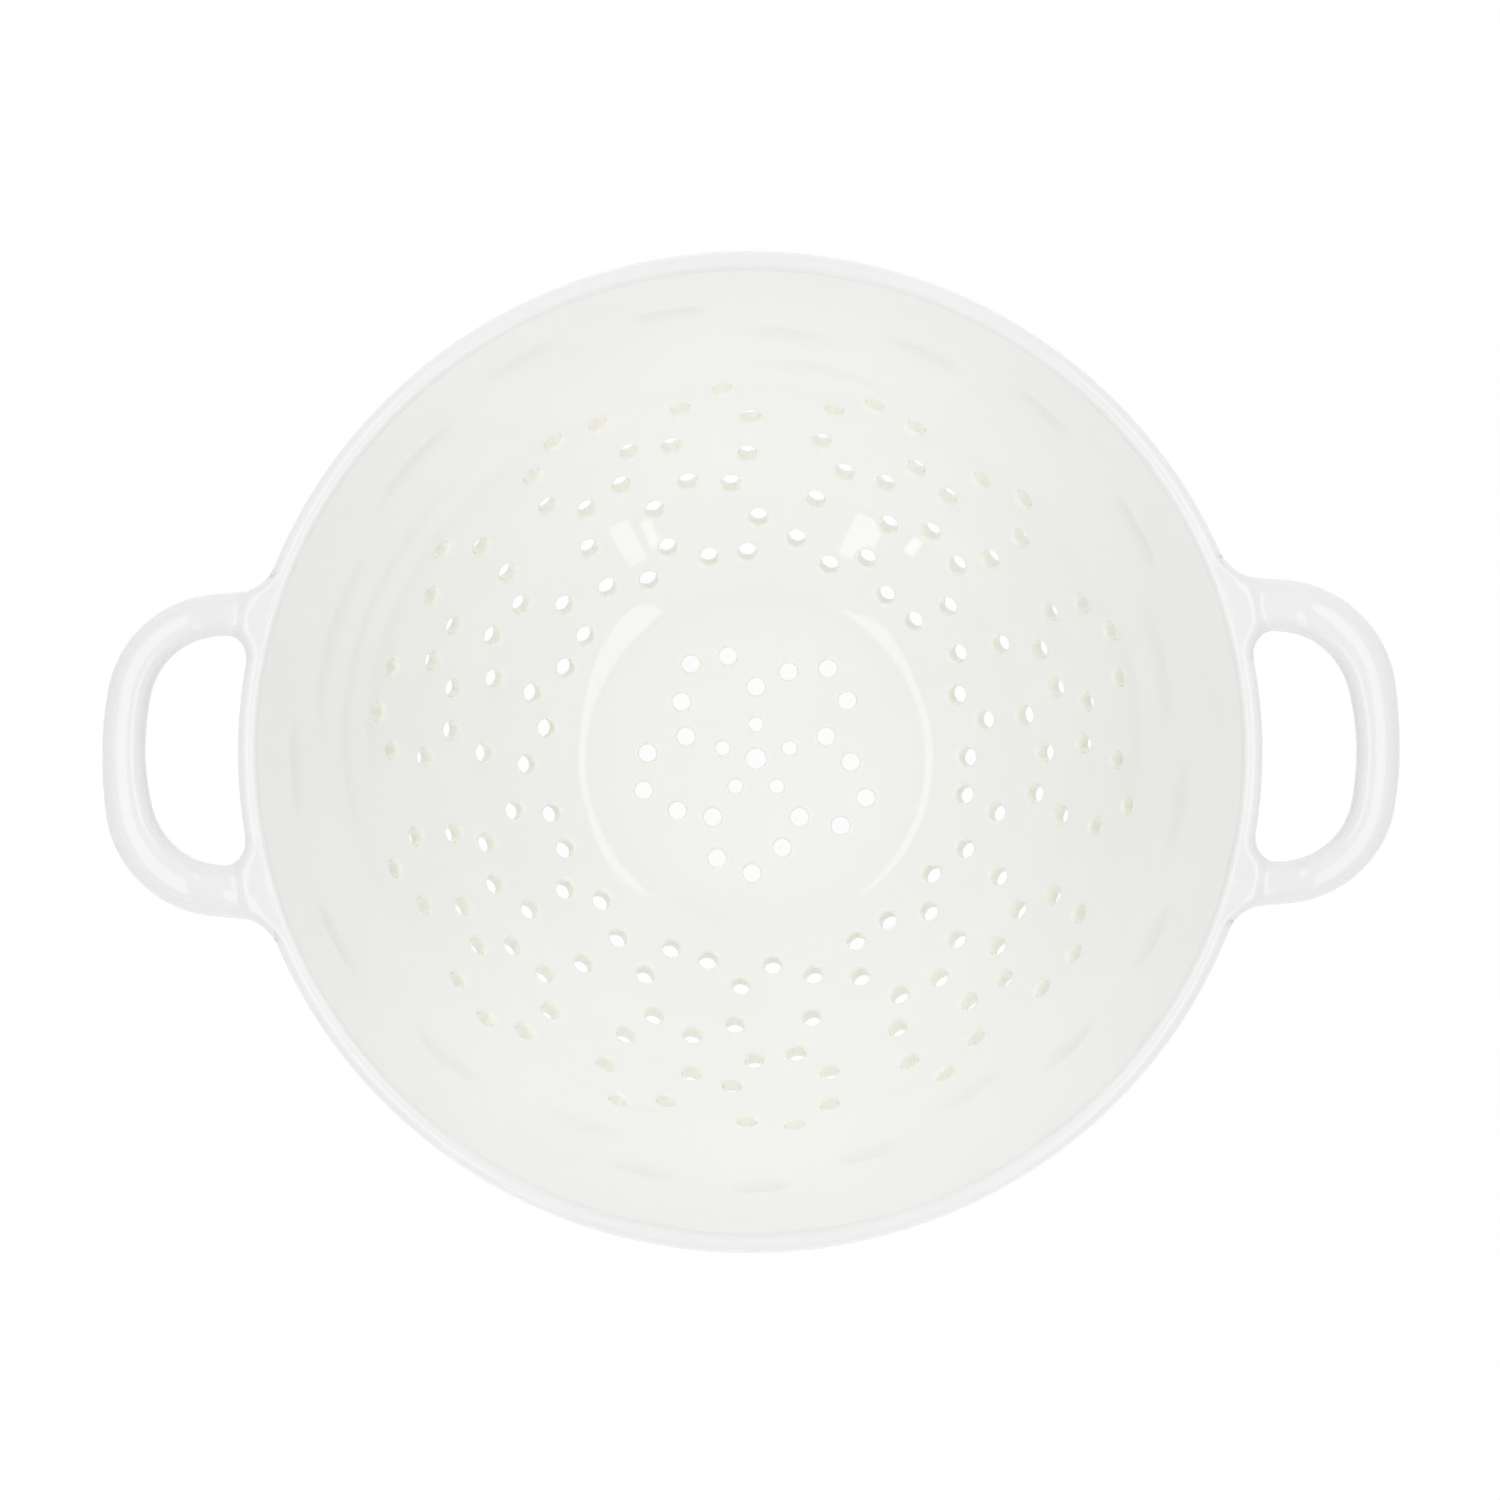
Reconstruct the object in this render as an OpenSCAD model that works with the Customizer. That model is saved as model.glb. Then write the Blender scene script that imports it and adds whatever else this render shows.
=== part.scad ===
// Porcelain colander: a round perforated bowl on a foot ring, with two loop handles at the rim.
// Millimetres, +Z up. The origin is the middle of the foot ring's flat underside, and the handles
// lie along X.

/* [Bowl] */
// Outer diameter of the rim
rim_d = 240; // [210:1:280]
// Height of the rim above the surface that the foot rests on
bowl_height = 105; // [95:1:120]
// Thickness of the wall and of the floor
wall_t = 5; // [4.2:0.1:6]
// Rounding of the two edges of the rim
rim_round = 2; // [1.6:0.1:2]
// Diameter of the flat part of the floor
floor_d = 84; // [80:1:90]
// Radius of the hollow where the floor turns up into the wall
crease_round = 9; // [6:0.5:12]
// Slope of the wall where it leaves the floor, in degrees
crease_tilt = 21; // [16:1:25]
// Inner diameter where the shallow dish turns up into the side
dish_d = 132; // [126:1:138]
// Slope of the wall there, in degrees
dish_tilt = 32; // [29:1:36]
// Inner diameter where the side straightens
waist_d = 184; // [176:1:190]
// Slope of the wall there, in degrees
waist_tilt = 59; // [54:1:62]

/* [Drain holes] */
// Diameter of the holes in the wall and in the petals of the rosette
hole_d = 4.6; // [3.5:0.1:5]
// Diameter of the hole in the middle of the floor
centre_hole_d = 5.2; // [4:0.1:6]
// Diameter of the five holes round the middle one
inner_hole_d = 3.7; // [3:0.1:5]
// Distance from the middle of the floor to the outermost holes of the rosette
rosette_reach = 29.8; // [27:0.1:32]
// How many flowers stand round the wall
flower_count = 7; // [5:1:7]
// Bearing of the first flower, in degrees
flower_bearing = 6.7; // [0:0.1:50]
// Distance along the slope from the flat floor to the middle of a flower
flower_rise = 41.6; // [39:0.1:44]
// Half the width of a flower, round the wall
flower_half_w = 27; // [22:0.5:28]
// Half the height of a flower, up the slope
flower_half_h = 28; // [22:0.5:29]

/* [Foot ring] */
// Outer diameter of the foot ring
foot_d = 104; // [96:1:110]
// Thickness of the foot ring
foot_t = 6; // [4:0.5:8]
// Height of the floor's underside above the surface that the foot rests on
foot_clear = 6; // [4:0.5:9]
// Bevel of the foot ring's two lower edges
foot_bevel = 1; // [0.5:0.1:1.5]

/* [Handles] */
// How far a handle stands out from the rim
handle_reach = 34; // [30:1:42]
// Turn of the right-hand handle round the bowl, in degrees, since both are set on by eye
right_handle_bearing = 0.6; // [-2:0.1:2]
// Width of the handle's bar, seen from above
bar_w = 10.2; // [8:0.1:12]
// Thickness of the bar from top to bottom
bar_h = 8.5; // [7:0.1:11]
// Squareness of the bar's section: 2 is an ellipse, and more is squarer
bar_square = 3.2; // [2:0.1:4]
// Depth of the grip's top below the rim's top
grip_drop = 0.3; // [0:0.1:3]
// Depth of the arms' tops below the rim's top
arm_drop = 1.8; // [0:0.1:4]
// Radius of the grip's outward bow, along the middle of the bar
grip_bow_r = 75; // [60:1:120]
// Half the angle of that bow, in degrees
grip_half_turn = 12.7; // [8:0.1:14]
// Radius of the handle's corners, along the middle of the bar
corner_r = 20.2; // [17:0.1:24]
// How far the arms spread towards the bowl, in degrees
arm_splay = 5; // [0:0.5:8]
// Reach of a handle's wider half along the rim, as a share of the other half's
wide_share = 1.058; // [1:0.001:1.1]
// How much wider the arm of that half is than the other arm
arm_swell = 1.6; // [0:0.1:2.5]
// Radius of the hollow where an arm's outer side meets the rim
outer_flare_r = 5; // [3:0.5:8]
// Radius of the hollow where an arm's inner side meets the rim
inner_flare_r = 4; // [2.5:0.5:6]

/* [Hidden] */

glaze = [0.95, 0.95, 0.93];
bare_clay = [0.90, 0.88, 0.84];

// Every cut runs this far past what it cuts
overrun = 2;
// Steps along each arc of the wall, round each edge of the rim, and along and round a handle, and
// sides of the surfaces of revolution and of the holes
arc_steps = [3, 5, 8, 8];
rim_steps = 9;
grip_steps = 5;
corner_steps = 12;
arm_steps = 18;
bar_sides = 20;
turn_fn = 144;
hole_fn = 32;

// The holes of one flower as shares of its half width and half height: first the inner five, then
// the five spoke ends, then four petals of three. The first number runs round the wall and the
// second up the slope.
flower_shares = [
    [0.31, 0.01], [0.10, -0.38], [-0.29, -0.20], [-0.24, 0.24], [0.13, 0.33],
    [0.70, -0.04], [0.12, -0.79], [-0.69, -0.29], [-0.41, 0.67], [0.29, 0.82],
    [0.86, -0.40], [0.91, -0.83], [0.46, -1.00],
    [-0.28, -1.00], [-0.72, -1.00], [-0.90, -0.65],
    [-0.90, 0.03], [-0.99, 0.47], [-0.80, 0.87],
    [0.69, 0.90], [0.99, 0.67], [1.00, 0.25]
];

// The rosette in the floor has five spokes of two holes and five petals of three
spoke_count = 5;
spoke_bearing = 90;
inner_ring_share = 0.30;
spoke_share = 0.63;
// Each petal's holes as shares of the reach, with their turns from the spoke before it
petal_shares = [0.81, 1, 0.93];
petal_turns = [-20, -38, -57];

// The inner face of the wall is a chain of four arcs that run into each other. Each starts at one
// of the tilts and ends at the next. The last one's end follows from the height of the bowl.
floor_top = foot_clear + wall_t;
floor_edge = [floor_d / 2, floor_top];
crease_end = arc_end(floor_edge, crease_round, 0, crease_tilt);
dish_arc = arc_radius(dish_d / 2 - crease_end[0], crease_tilt, dish_tilt);
dish_end = arc_end(crease_end, dish_arc, crease_tilt, dish_tilt);
waist_arc = arc_radius((waist_d - dish_d) / 2, dish_tilt, waist_tilt);
waist_end = arc_end(dish_end, waist_arc, dish_tilt, waist_tilt);

// The rim's outer rounding is centred on an arc that lies this far outside the inner face
rim_inset = wall_t - rim_round;
rim_centre = [rim_d / 2 - rim_round, bowl_height - rim_round];
side_start = waist_end + rim_inset * outward(waist_tilt);
side_chord = rim_centre - side_start;
rim_tilt = 2 * atan2(side_chord[1], side_chord[0]) - waist_tilt;
side_arc = arc_radius(side_chord[0], waist_tilt, rim_tilt) - rim_inset;
// Distance between the centres of the rim's two roundings, which touch the two faces of the wall
rim_flat = (wall_t - 2 * rim_round) / sin(rim_tilt);

wall_radii = [crease_round, dish_arc, waist_arc, side_arc];
wall_tilts = [0, crease_tilt, dish_tilt, waist_tilt, rim_tilt];
wall_starts = [floor_edge, crease_end, dish_end, waist_end];
wall_runs = [for (i = [0:3]) wall_radii[i] * (wall_tilts[i + 1] - wall_tilts[i]) * PI / 180];
wall_marks = [0, wall_runs[0], wall_runs[0] + wall_runs[1], wall_runs[0] + wall_runs[1] + wall_runs[2]];
wall_length = wall_marks[3] + wall_runs[3];

flower_mid_r = wall_point(flower_rise)[0];

// The marks along the wall's inner face where its section has points
wall_stops = concat(
    [for (i = [0:3], k = [0:arc_steps[i] - 1]) wall_marks[i] + k / arc_steps[i] * wall_runs[i]],
    [wall_length]
);

// The middle line of a handle runs from the grip through a corner into a straight arm
grip_centre_x = rim_d / 2 + handle_reach - bar_w / 2 - grip_bow_r;
corner_centre = [grip_centre_x, 0] + (grip_bow_r - corner_r) * unit(grip_half_turn);
corner_turn = 90 - arm_splay - grip_half_turn;
arm_start = corner_centre + corner_r * unit(90 - arm_splay);
arm_dir = unit(180 - arm_splay);
arm_out = unit(90 - arm_splay);
arm_length = arm_start[0] - (rim_d / 2 - 2 * wall_t);
grip_run = grip_bow_r * grip_half_turn * PI / 180;
corner_run = corner_r * corner_turn * PI / 180;
// Distances from the middle of the grip at which a handle's sections stand
loop_stops = concat(
    [for (k = [0:grip_steps - 1]) k / grip_steps * grip_run],
    [for (k = [0:corner_steps - 1]) grip_run + k / corner_steps * corner_run],
    [for (k = [0:arm_steps]) grip_run + corner_run + k / arm_steps * arm_length]
);

function unit(a) = [cos(a), sin(a)];
// Direction out of the wall, in the plane of its section, where the wall has this tilt
function outward(tilt) = [sin(tilt), -cos(tilt)];
function arc_radius(run, from, to) = run / (sin(to) - sin(from));
function arc_end(start, r, from, to) = start + r * (outward(to) - outward(from));

// The arc that holds a point at this distance up the slope, and the wall's tilt and place there
function arc_at(s) = s < wall_marks[1] ? 0 : s < wall_marks[2] ? 1 : s < wall_marks[3] ? 2 : 3;
function wall_tilt(s) =
    let (i = arc_at(s)) wall_tilts[i] + (s - wall_marks[i]) / wall_radii[i] * 180 / PI;
function wall_point(s) =
    let (i = arc_at(s)) arc_end(wall_starts[i], wall_radii[i], wall_tilts[i], wall_tilt(s));

function smooth(x) = x < 0 ? 0 : x > 1 ? 1 : x * x * (3 - 2 * x);
function backwards(list) = [for (i = [len(list) - 1:-1:0]) list[i]];

// Bearing of the handle's outer side, and the place of its middle line, this far from the grip's middle
function loop_side(d) =
    d < grip_run ? d / grip_bow_r * 180 / PI :
    grip_half_turn + min(corner_turn, (d - grip_run) / corner_r * 180 / PI);
function loop_point(d) =
    d < grip_run ? [grip_centre_x, 0] + grip_bow_r * unit(loop_side(d)) :
    corner_centre + corner_r * unit(loop_side(d)) + max(0, d - grip_run - corner_run) * arm_dir;
// The arms lie a little lower than the grip and rise into it round the corner
function loop_drop(d) = grip_drop + (arm_drop - grip_drop) * smooth((d - grip_run) / corner_run);

// The far half of a handle (1) is drawn out along the rim and has the wider arm. The near one (-1) isn't.
function drawn_out(half) = [1, half > 0 ? wide_share : 1];
function swell(d, half) = half > 0 ? arm_swell / 2 * smooth(d / (grip_run + corner_run / 2)) : 0;

// How far along the arm the hollow of a flare begins, on its outer side (1) or its inner (-1)
function flare_start(side, r, half) =
    let (
        reach = side * (bar_w / 2 + r + swell(grip_run + corner_run, half)),
        out = drawn_out(half)[1],
        base = [arm_start[0] + reach * arm_out[0], out * (arm_start[1] + reach * arm_out[1])],
        way = [arm_dir[0], out * arm_dir[1]],
        a = way * way,
        b = base * way,
        c = base * base - pow(rim_d / 2 + r, 2)
    ) grip_run + corner_run - (b + sqrt(b * b - a * c)) / a;
function flare(d, start, r) = d < start ? 0 : r - sqrt(pow(r, 2) - pow(min(d - start, r), 2));

// Half the bar's width on its outer side (1) or its inner (-1)
function half_width(d, side, half) =
    let (r = side > 0 ? outer_flare_r : inner_flare_r)
    bar_w / 2 + swell(d, half) + flare(d, flare_start(sign(side), r, half), r);
function squared(x) = sign(x) * pow(abs(x), 2 / bar_square);

// The bar's section this far from the grip's middle, on the far (1) or near (-1) half of the loop
function loop_section(d, half) =
    let (p = loop_point(d), out = unit(loop_side(d)), mid_z = bowl_height - loop_drop(d) - bar_h / 2)
    [
        for (k = [0:bar_sides - 1])
            let (
                a = (k + 0.5) * 360 / bar_sides,
                across = squared(cos(a)) * half_width(d, cos(a), half),
                flat = p + across * out
            ) [flat[0], half * drawn_out(half)[1] * flat[1], mid_z + squared(sin(a)) * bar_h / 2]
    ];

// The wall's two faces from the floor up, and the rim's two roundings from the inside out
wall_inside = [for (s = wall_stops) wall_point(s)];
wall_outside = [for (s = wall_stops) wall_point(s) + wall_t * outward(wall_tilt(s))];
rim_inner_centre = rim_centre - [rim_flat, 0];
rim_inner_edge = [
    for (k = [1:rim_steps]) rim_inner_centre + rim_round * unit(90 + rim_tilt * (1 - k / rim_steps))
];
rim_outer_edge = [
    for (k = [0:rim_steps - 1]) rim_centre + rim_round * unit(90 - (180 - rim_tilt) * k / rim_steps)
];

module bowl_section() {
    polygon(concat(
        [[0, floor_top]],
        wall_inside,
        rim_inner_edge,
        rim_outer_edge,
        backwards(wall_outside),
        [[0, foot_clear]]
    ));
}

// The bowl with its hollow filled, which the foot ring and the handles lie against
module bowl_blank() {
    rotate_extrude($fn = turn_fn) polygon(concat(
        [[0, bowl_height]],
        rim_outer_edge,
        backwards(wall_outside),
        [[0, foot_clear]]
    ));
}

// A hole bored square to the floor
module floor_hole(r, bearing, d) {
    rotate([0, 0, bearing])
        translate([r, 0, foot_clear - overrun])
            cylinder(h = wall_t + 2 * overrun, d = d, $fn = hole_fn);
}

// A hole bored square to the wall, this far up the slope
module wall_hole(s, bearing) {
    place = wall_point(s);
    tilt = wall_tilt(s);
    rotate([0, 0, bearing])
        translate([place[0], 0, place[1]])
            rotate([0, 180 - tilt, 0])
                translate([0, 0, -overrun])
                    cylinder(h = wall_t + 2 * overrun, d = hole_d, $fn = hole_fn);
}

module rosette() {
    floor_hole(0, 0, centre_hole_d);
    for (k = [0:spoke_count - 1]) {
        bearing = spoke_bearing - k * 360 / spoke_count;
        floor_hole(rosette_reach * inner_ring_share, bearing, inner_hole_d);
        floor_hole(rosette_reach * spoke_share, bearing, hole_d);
        for (i = [0:2]) floor_hole(rosette_reach * petal_shares[i], bearing + petal_turns[i], hole_d);
    }
}

// The shares are laid off on the wall as it would be if rolled out flat round the flower's middle
module flower(bearing) {
    for (p = flower_shares) {
        s = flower_rise + p[1] * flower_half_h;
        mean_r = (flower_mid_r + wall_point(s)[0]) / 2;
        wall_hole(s, bearing + p[0] * flower_half_w / mean_r * 180 / PI);
    }
}

module bowl() {
    color(glaze) difference() {
        rotate_extrude($fn = turn_fn) bowl_section();
        rosette();
        for (k = [0:flower_count - 1]) flower(flower_bearing + k * 360 / flower_count);
    }
}

module foot_ring() {
    r_out = foot_d / 2;
    r_in = r_out - foot_t;
    top = floor_top + wall_t;
    color(bare_clay) difference() {
        rotate_extrude($fn = turn_fn) polygon([
            [r_in, foot_bevel],
            [r_in + foot_bevel, 0],
            [r_out - foot_bevel, 0],
            [r_out, foot_bevel],
            [r_out, top],
            [r_in, top]
        ]);
        bowl_blank();
    }
}

// A solid through sections that all have the same number of points
module skin(sections) {
    n = len(sections[0]);
    last = (len(sections) - 1) * n;
    polyhedron(
        points = [for (section = sections, p = section) p],
        faces = concat(
            [[for (k = [0:n - 1]) k]],
            [
                for (i = [0:len(sections) - 2], k = [0:n - 1])
                    let (j = (k + 1) % n) [i * n + j, i * n + k, (i + 1) * n + k, (i + 1) * n + j]
            ],
            [[for (k = [n - 1:-1:0]) last + k]]
        )
    );
}

// A handle that stands out along X. Both are the same, and the left one is turned half round.
module handle() {
    color(glaze) difference() {
        skin(concat(
            [for (d = backwards(loop_stops)) loop_section(d, -1)],
            [for (i = [1:len(loop_stops) - 1]) loop_section(loop_stops[i], 1)]
        ));
        bowl_blank();
    }
}

module handle_right() {
    rotate([0, 0, right_handle_bearing]) handle();
}

module handle_left() {
    rotate([0, 0, 180]) handle();
}

bowl();
foot_ring();
handle_left();
handle_right();
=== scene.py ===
"""A white glazed colander: a bowl with flowers of drain holes, a foot ring and two loop handles.

Lengths are in metres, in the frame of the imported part. The bowl's axis is Z and the handles lie along X.
"""

import math

import bpy
import numpy as np
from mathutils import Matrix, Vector
from mathutils.geometry import delaunay_2d_cdt


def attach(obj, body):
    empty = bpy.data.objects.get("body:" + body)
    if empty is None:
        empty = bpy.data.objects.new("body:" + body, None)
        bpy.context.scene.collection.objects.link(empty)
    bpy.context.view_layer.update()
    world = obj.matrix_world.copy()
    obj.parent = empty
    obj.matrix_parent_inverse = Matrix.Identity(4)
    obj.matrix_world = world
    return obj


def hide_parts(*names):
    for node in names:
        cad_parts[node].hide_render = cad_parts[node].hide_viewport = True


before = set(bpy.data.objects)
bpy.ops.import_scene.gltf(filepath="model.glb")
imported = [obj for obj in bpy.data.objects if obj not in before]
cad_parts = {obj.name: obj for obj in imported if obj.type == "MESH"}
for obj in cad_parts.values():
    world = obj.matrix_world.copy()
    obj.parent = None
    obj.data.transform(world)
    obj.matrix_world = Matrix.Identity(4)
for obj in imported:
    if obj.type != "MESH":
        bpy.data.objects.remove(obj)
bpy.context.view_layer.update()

MM = 0.001

# The bowl. Its lip has a wide rounding outside and a smaller one inside
RIM_R = 120 * MM
RIM_Z = 105 * MM
WALL = 5 * MM
LIP_R = 2.8 * MM
LIP_INNER_R = 1.7 * MM

# The inner face: the floor, the rounding of the crease at its edge, how far out the dish and the waist
# end, and the tilt at which the crease, the dish, the waist and the side begin
FLOOR_R = 42 * MM
FLOOR_TOP = 11 * MM
CREASE_R = 9 * MM
DISH_R = 66 * MM
WAIST_R = 92 * MM
TILTS = [math.radians(t) for t in (0, 21, 32, 59)]

# The drain holes, with a rounded mouth and a narrow band of mesh round it
HOLE_R = 2.3 * MM
CENTRE_HOLE_R = 2.6 * MM
INNER_HOLE_R = 1.85 * MM
MOUTH = 1.0 * MM
MOUTH_APRON = 0.45 * MM
MOUTH_BENDS = [18, 36, 54, 72, 90]

# The floor's rosette: two holes on each spoke, then a petal, by shares of its reach and turns in degrees
ROSETTE_REACH = 29.8 * MM
SPOKE_COUNT = 5
SPOKE_BEARING = 90
INNER_SHARE = 0.30
SPOKE_SHARE = 0.63
PETAL_SHARES = [(0.81, -20), (1, -38), (0.93, -57)]

# The wall's flowers, each hole by shares of the flower's half width and half height from its middle
FLOWER_RISE = 40.3 * MM
FLOWER_HALF_W = 27 * MM
FLOWER_HALF_H = 28 * MM
FLOWER_BEARINGS = [7, 58.8, 109.3, 160.6, 212.5, 263.7, 315.2]
FLOWER_SHARES = [
    (0.31, 0.01), (0.10, -0.38), (-0.29, -0.20), (-0.24, 0.24), (0.13, 0.33),
    (0.70, -0.04), (0.12, -0.79), (-0.69, -0.29), (-0.41, 0.67), (0.29, 0.82),
    (0.86, -0.40), (0.91, -0.83), (0.46, -1.00),
    (-0.28, -1.00), (-0.72, -1.00), (-0.90, -0.65),
    (-0.90, 0.03), (-0.99, 0.47), (-0.80, 0.87),
    (0.69, 0.90), (0.99, 0.67), (1.00, 0.25),
]

# The foot ring: its fillets against the bowl, outside and inside, and how deep it sits in the bowl
FOOT_R = 52 * MM
FOOT_T = 6 * MM
FOOT_BEVEL = 1.2 * MM
FOOT_FILLETS = (1.4 * MM, 2.5 * MM)
FOOT_SUNK = 0.3 * MM

# The handles, from above
REACH = 33.95 * MM
BAR_W = 10.2 * MM
BAR_H = 8.5 * MM
BOW_R = 75 * MM
HALF_TURN = math.radians(10.7)
CORNER_R = 22.5 * MM
SPLAY = math.radians(5)
TURNS = {"handle_right": math.radians(0.35), "handle_left": math.radians(179.74)}
# One half of each handle is drawn out along the rim and has a wider arm
WIDE_SHARE = 1.058
ARM_SWELL = 1.6 * MM
SWELL_RUN = 27 * MM

# The handle's form where it leaves the rim: a shallow dip outside the rim, then a rise into the grip
ROOT_RUN = 9 * MM
DIP_X, DIP_Y, DIP_SWING, DIP_RUN = 119.2 * MM, 31.5 * MM, 81 * MM, 3.2 * MM
RISE_X, RISE_RUN = 126.5 * MM, 5 * MM
ARM_DROP = 0.8 * MM
GRIP_DROP = 0.05 * MM
CROWN_R, CROWN_OFF = 10 * MM, 1.2 * MM
EDGE_IN, EDGE_OUT = 3.3 * MM, 3.1 * MM
FILLET_IN, FILLET_OUT = 7.5 * MM, 5 * MM
UNDER_FILLET = 3 * MM
# The root: how deep it reaches into the wall, how far past the bar's sides and how near the axis
ROOT_DEPTH = 0.6 * MM
ROOT_WIDTH = 7.5 * MM
ROOT_INSET = 0.35 * MM
ROOT_R = RIM_R - LIP_R - ROOT_INSET
# The handle's skin lies this far inside its form, so that it never lies in the bowl's skin
SEAM = 0.004 * MM

# The bowl dried a little out of round, wider along X and narrower along Y
STRETCH = np.array([1.011, 0.989, 1])

# Mesh steps. Rows of points lie a share of their gap apart, and stay a share of it clear of a mouth
RING_SIDES = 288
RING_BEARINGS = 2 * math.pi * np.arange(RING_SIDES) / RING_SIDES
LEAST_SIDES = 6
POINT_GAP = 1.9 * MM
ROW_SHARE = 0.866
CLEAR_SHARE = 0.55
TINY = 1e-6
CREASE_ROWS = 9
SIDE_ROWS = 28
LIP_INNER_ROWS = 13
LIP_ROWS = 17
FOOT_HOLLOW_ROWS = 10
FOOT_BEND_ROWS = 8
HOLE_SIDES = 28
CHART_STEPS = 3000
SLOPE_COUNT = 4000
# How often a point is moved towards the surface that it belongs on
MOVES = 4

# The handle's mesh: its cells and their box, and how the slope of its distance field is taken
HANDLE_CELL = 0.6 * MM
HANDLE_LOW = [104 * MM, -54 * MM, 92 * MM]
HANDLE_HIGH = [155 * MM, 54 * MM, 106.5 * MM]
FIELD_STEP = 0.02 * MM
LEAST_SLOPE = 0.2

# The glaze: its colours, with painted shade on the lip and the handles and painted light in the holes, the
# scale and depth of its clouds, and its faint waves
BODY_COLOUR = (0.90, 0.90, 0.88)
# The lip's colour: its cooler tone is the glaze's own, and its darker level is painted shade on the lip
LIP_SHADED_COLOUR = (0.83, 0.83, 0.835)
# The handles' colour: the glaze with a cooler tone, darker than the bowl's body as painted shade on the
# handles
GRIP_SHADED_COLOUR = (0.81, 0.81, 0.815)
# The holes' colour: the cream of pooled glaze, lightened to white as painted light in the bores
POOLED_GLAZE_AND_PAINTED_LIGHT = (1.0, 0.995, 0.93)
CLOUD_SCALE = 22
CLOUD_SPAN = (0.35, 0.65)
CLOUD_DIM = 0.985
GLOSS_ROUGHNESS = 0.012
GLAZE_IOR = 1.5
WAVE_SCALE = 45
WAVE_HEIGHT = 0.6 * MM
WAVE_STRENGTH = 0.02
NOISE_DETAIL = 2
# The lip's colour, a cooler tone darkened as painted shade, fades in between these heights
LIP_SHADE_FADE = (RIM_Z - 1.5 * LIP_INNER_R, RIM_Z - 0.5 * LIP_INNER_R)

# The camera, almost straight above
SENSOR = 36
LENS = 106.77
CAMERA_PLACE = (20.2 * MM, -23 * MM, RIM_Z + 1050 * MM)
CAMERA_AIM = (0.26 * MM, 0.14 * MM, RIM_Z)

# The floor: its half side, its white, and the level at which it shows
FLOOR_HALF = 4.0
FLOOR_BASE = 0.95
FLOOR_GLOW = 0.97

# Levels of the sky by the sine of their height, from the horizon to the top
SKY = [(0.0, 0.89), (0.2, 0.56), (0.6, 0.49), (1.0, 0.36)]

# The lamps, all this far from the bowl. Wide soft panels light it but don't show in its glaze
LAMP_REACH = 1.8
UNSEEN = ("back", "front")
# Each lamp's name and shape, its bearings and heights in degrees from the bowl, its slide as a share
# of its distance, and its radiance
SOFTBOXES = [
    ("left", "ELLIPSE", (127.4, 232.6), (52, 77.5), 0.045, 1.55),
    ("right", "ELLIPSE", (-55.6, 55.6), (52.4, 76.3), -0.03, 1.55),
    ("back", "RECTANGLE", (45, 135), (15, 60), 0, 1.0),
    ("front", "RECTANGLE", (-135, -45), (15, 60), 0, 0.78),
    ("window_right_1", "RECTANGLE", (-63.4, -58.4), (25, 38.5), 0, 1.7),
    ("window_right_2", "RECTANGLE", (-67.8, -65.3), (28.5, 37), 0, 1.9),
    ("window_left_1", "RECTANGLE", (-120, -113), (26, 39), 0, 2.0),
    ("window_left_2", "RECTANGLE", (-128.5, -126), (20, 30.5), 0, 2.6),
]


def unit(a):
    return np.array([np.cos(a), np.sin(a)])


def outward(tilt):
    """Direction out of the wall in the plane of its section, for the wall's tilt."""
    return np.stack([np.sin(tilt), -np.cos(tilt)], -1)


def arc_end(start, r, tilt_0, tilt_1):
    return start + r * (outward(tilt_1) - outward(tilt_0))


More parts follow.
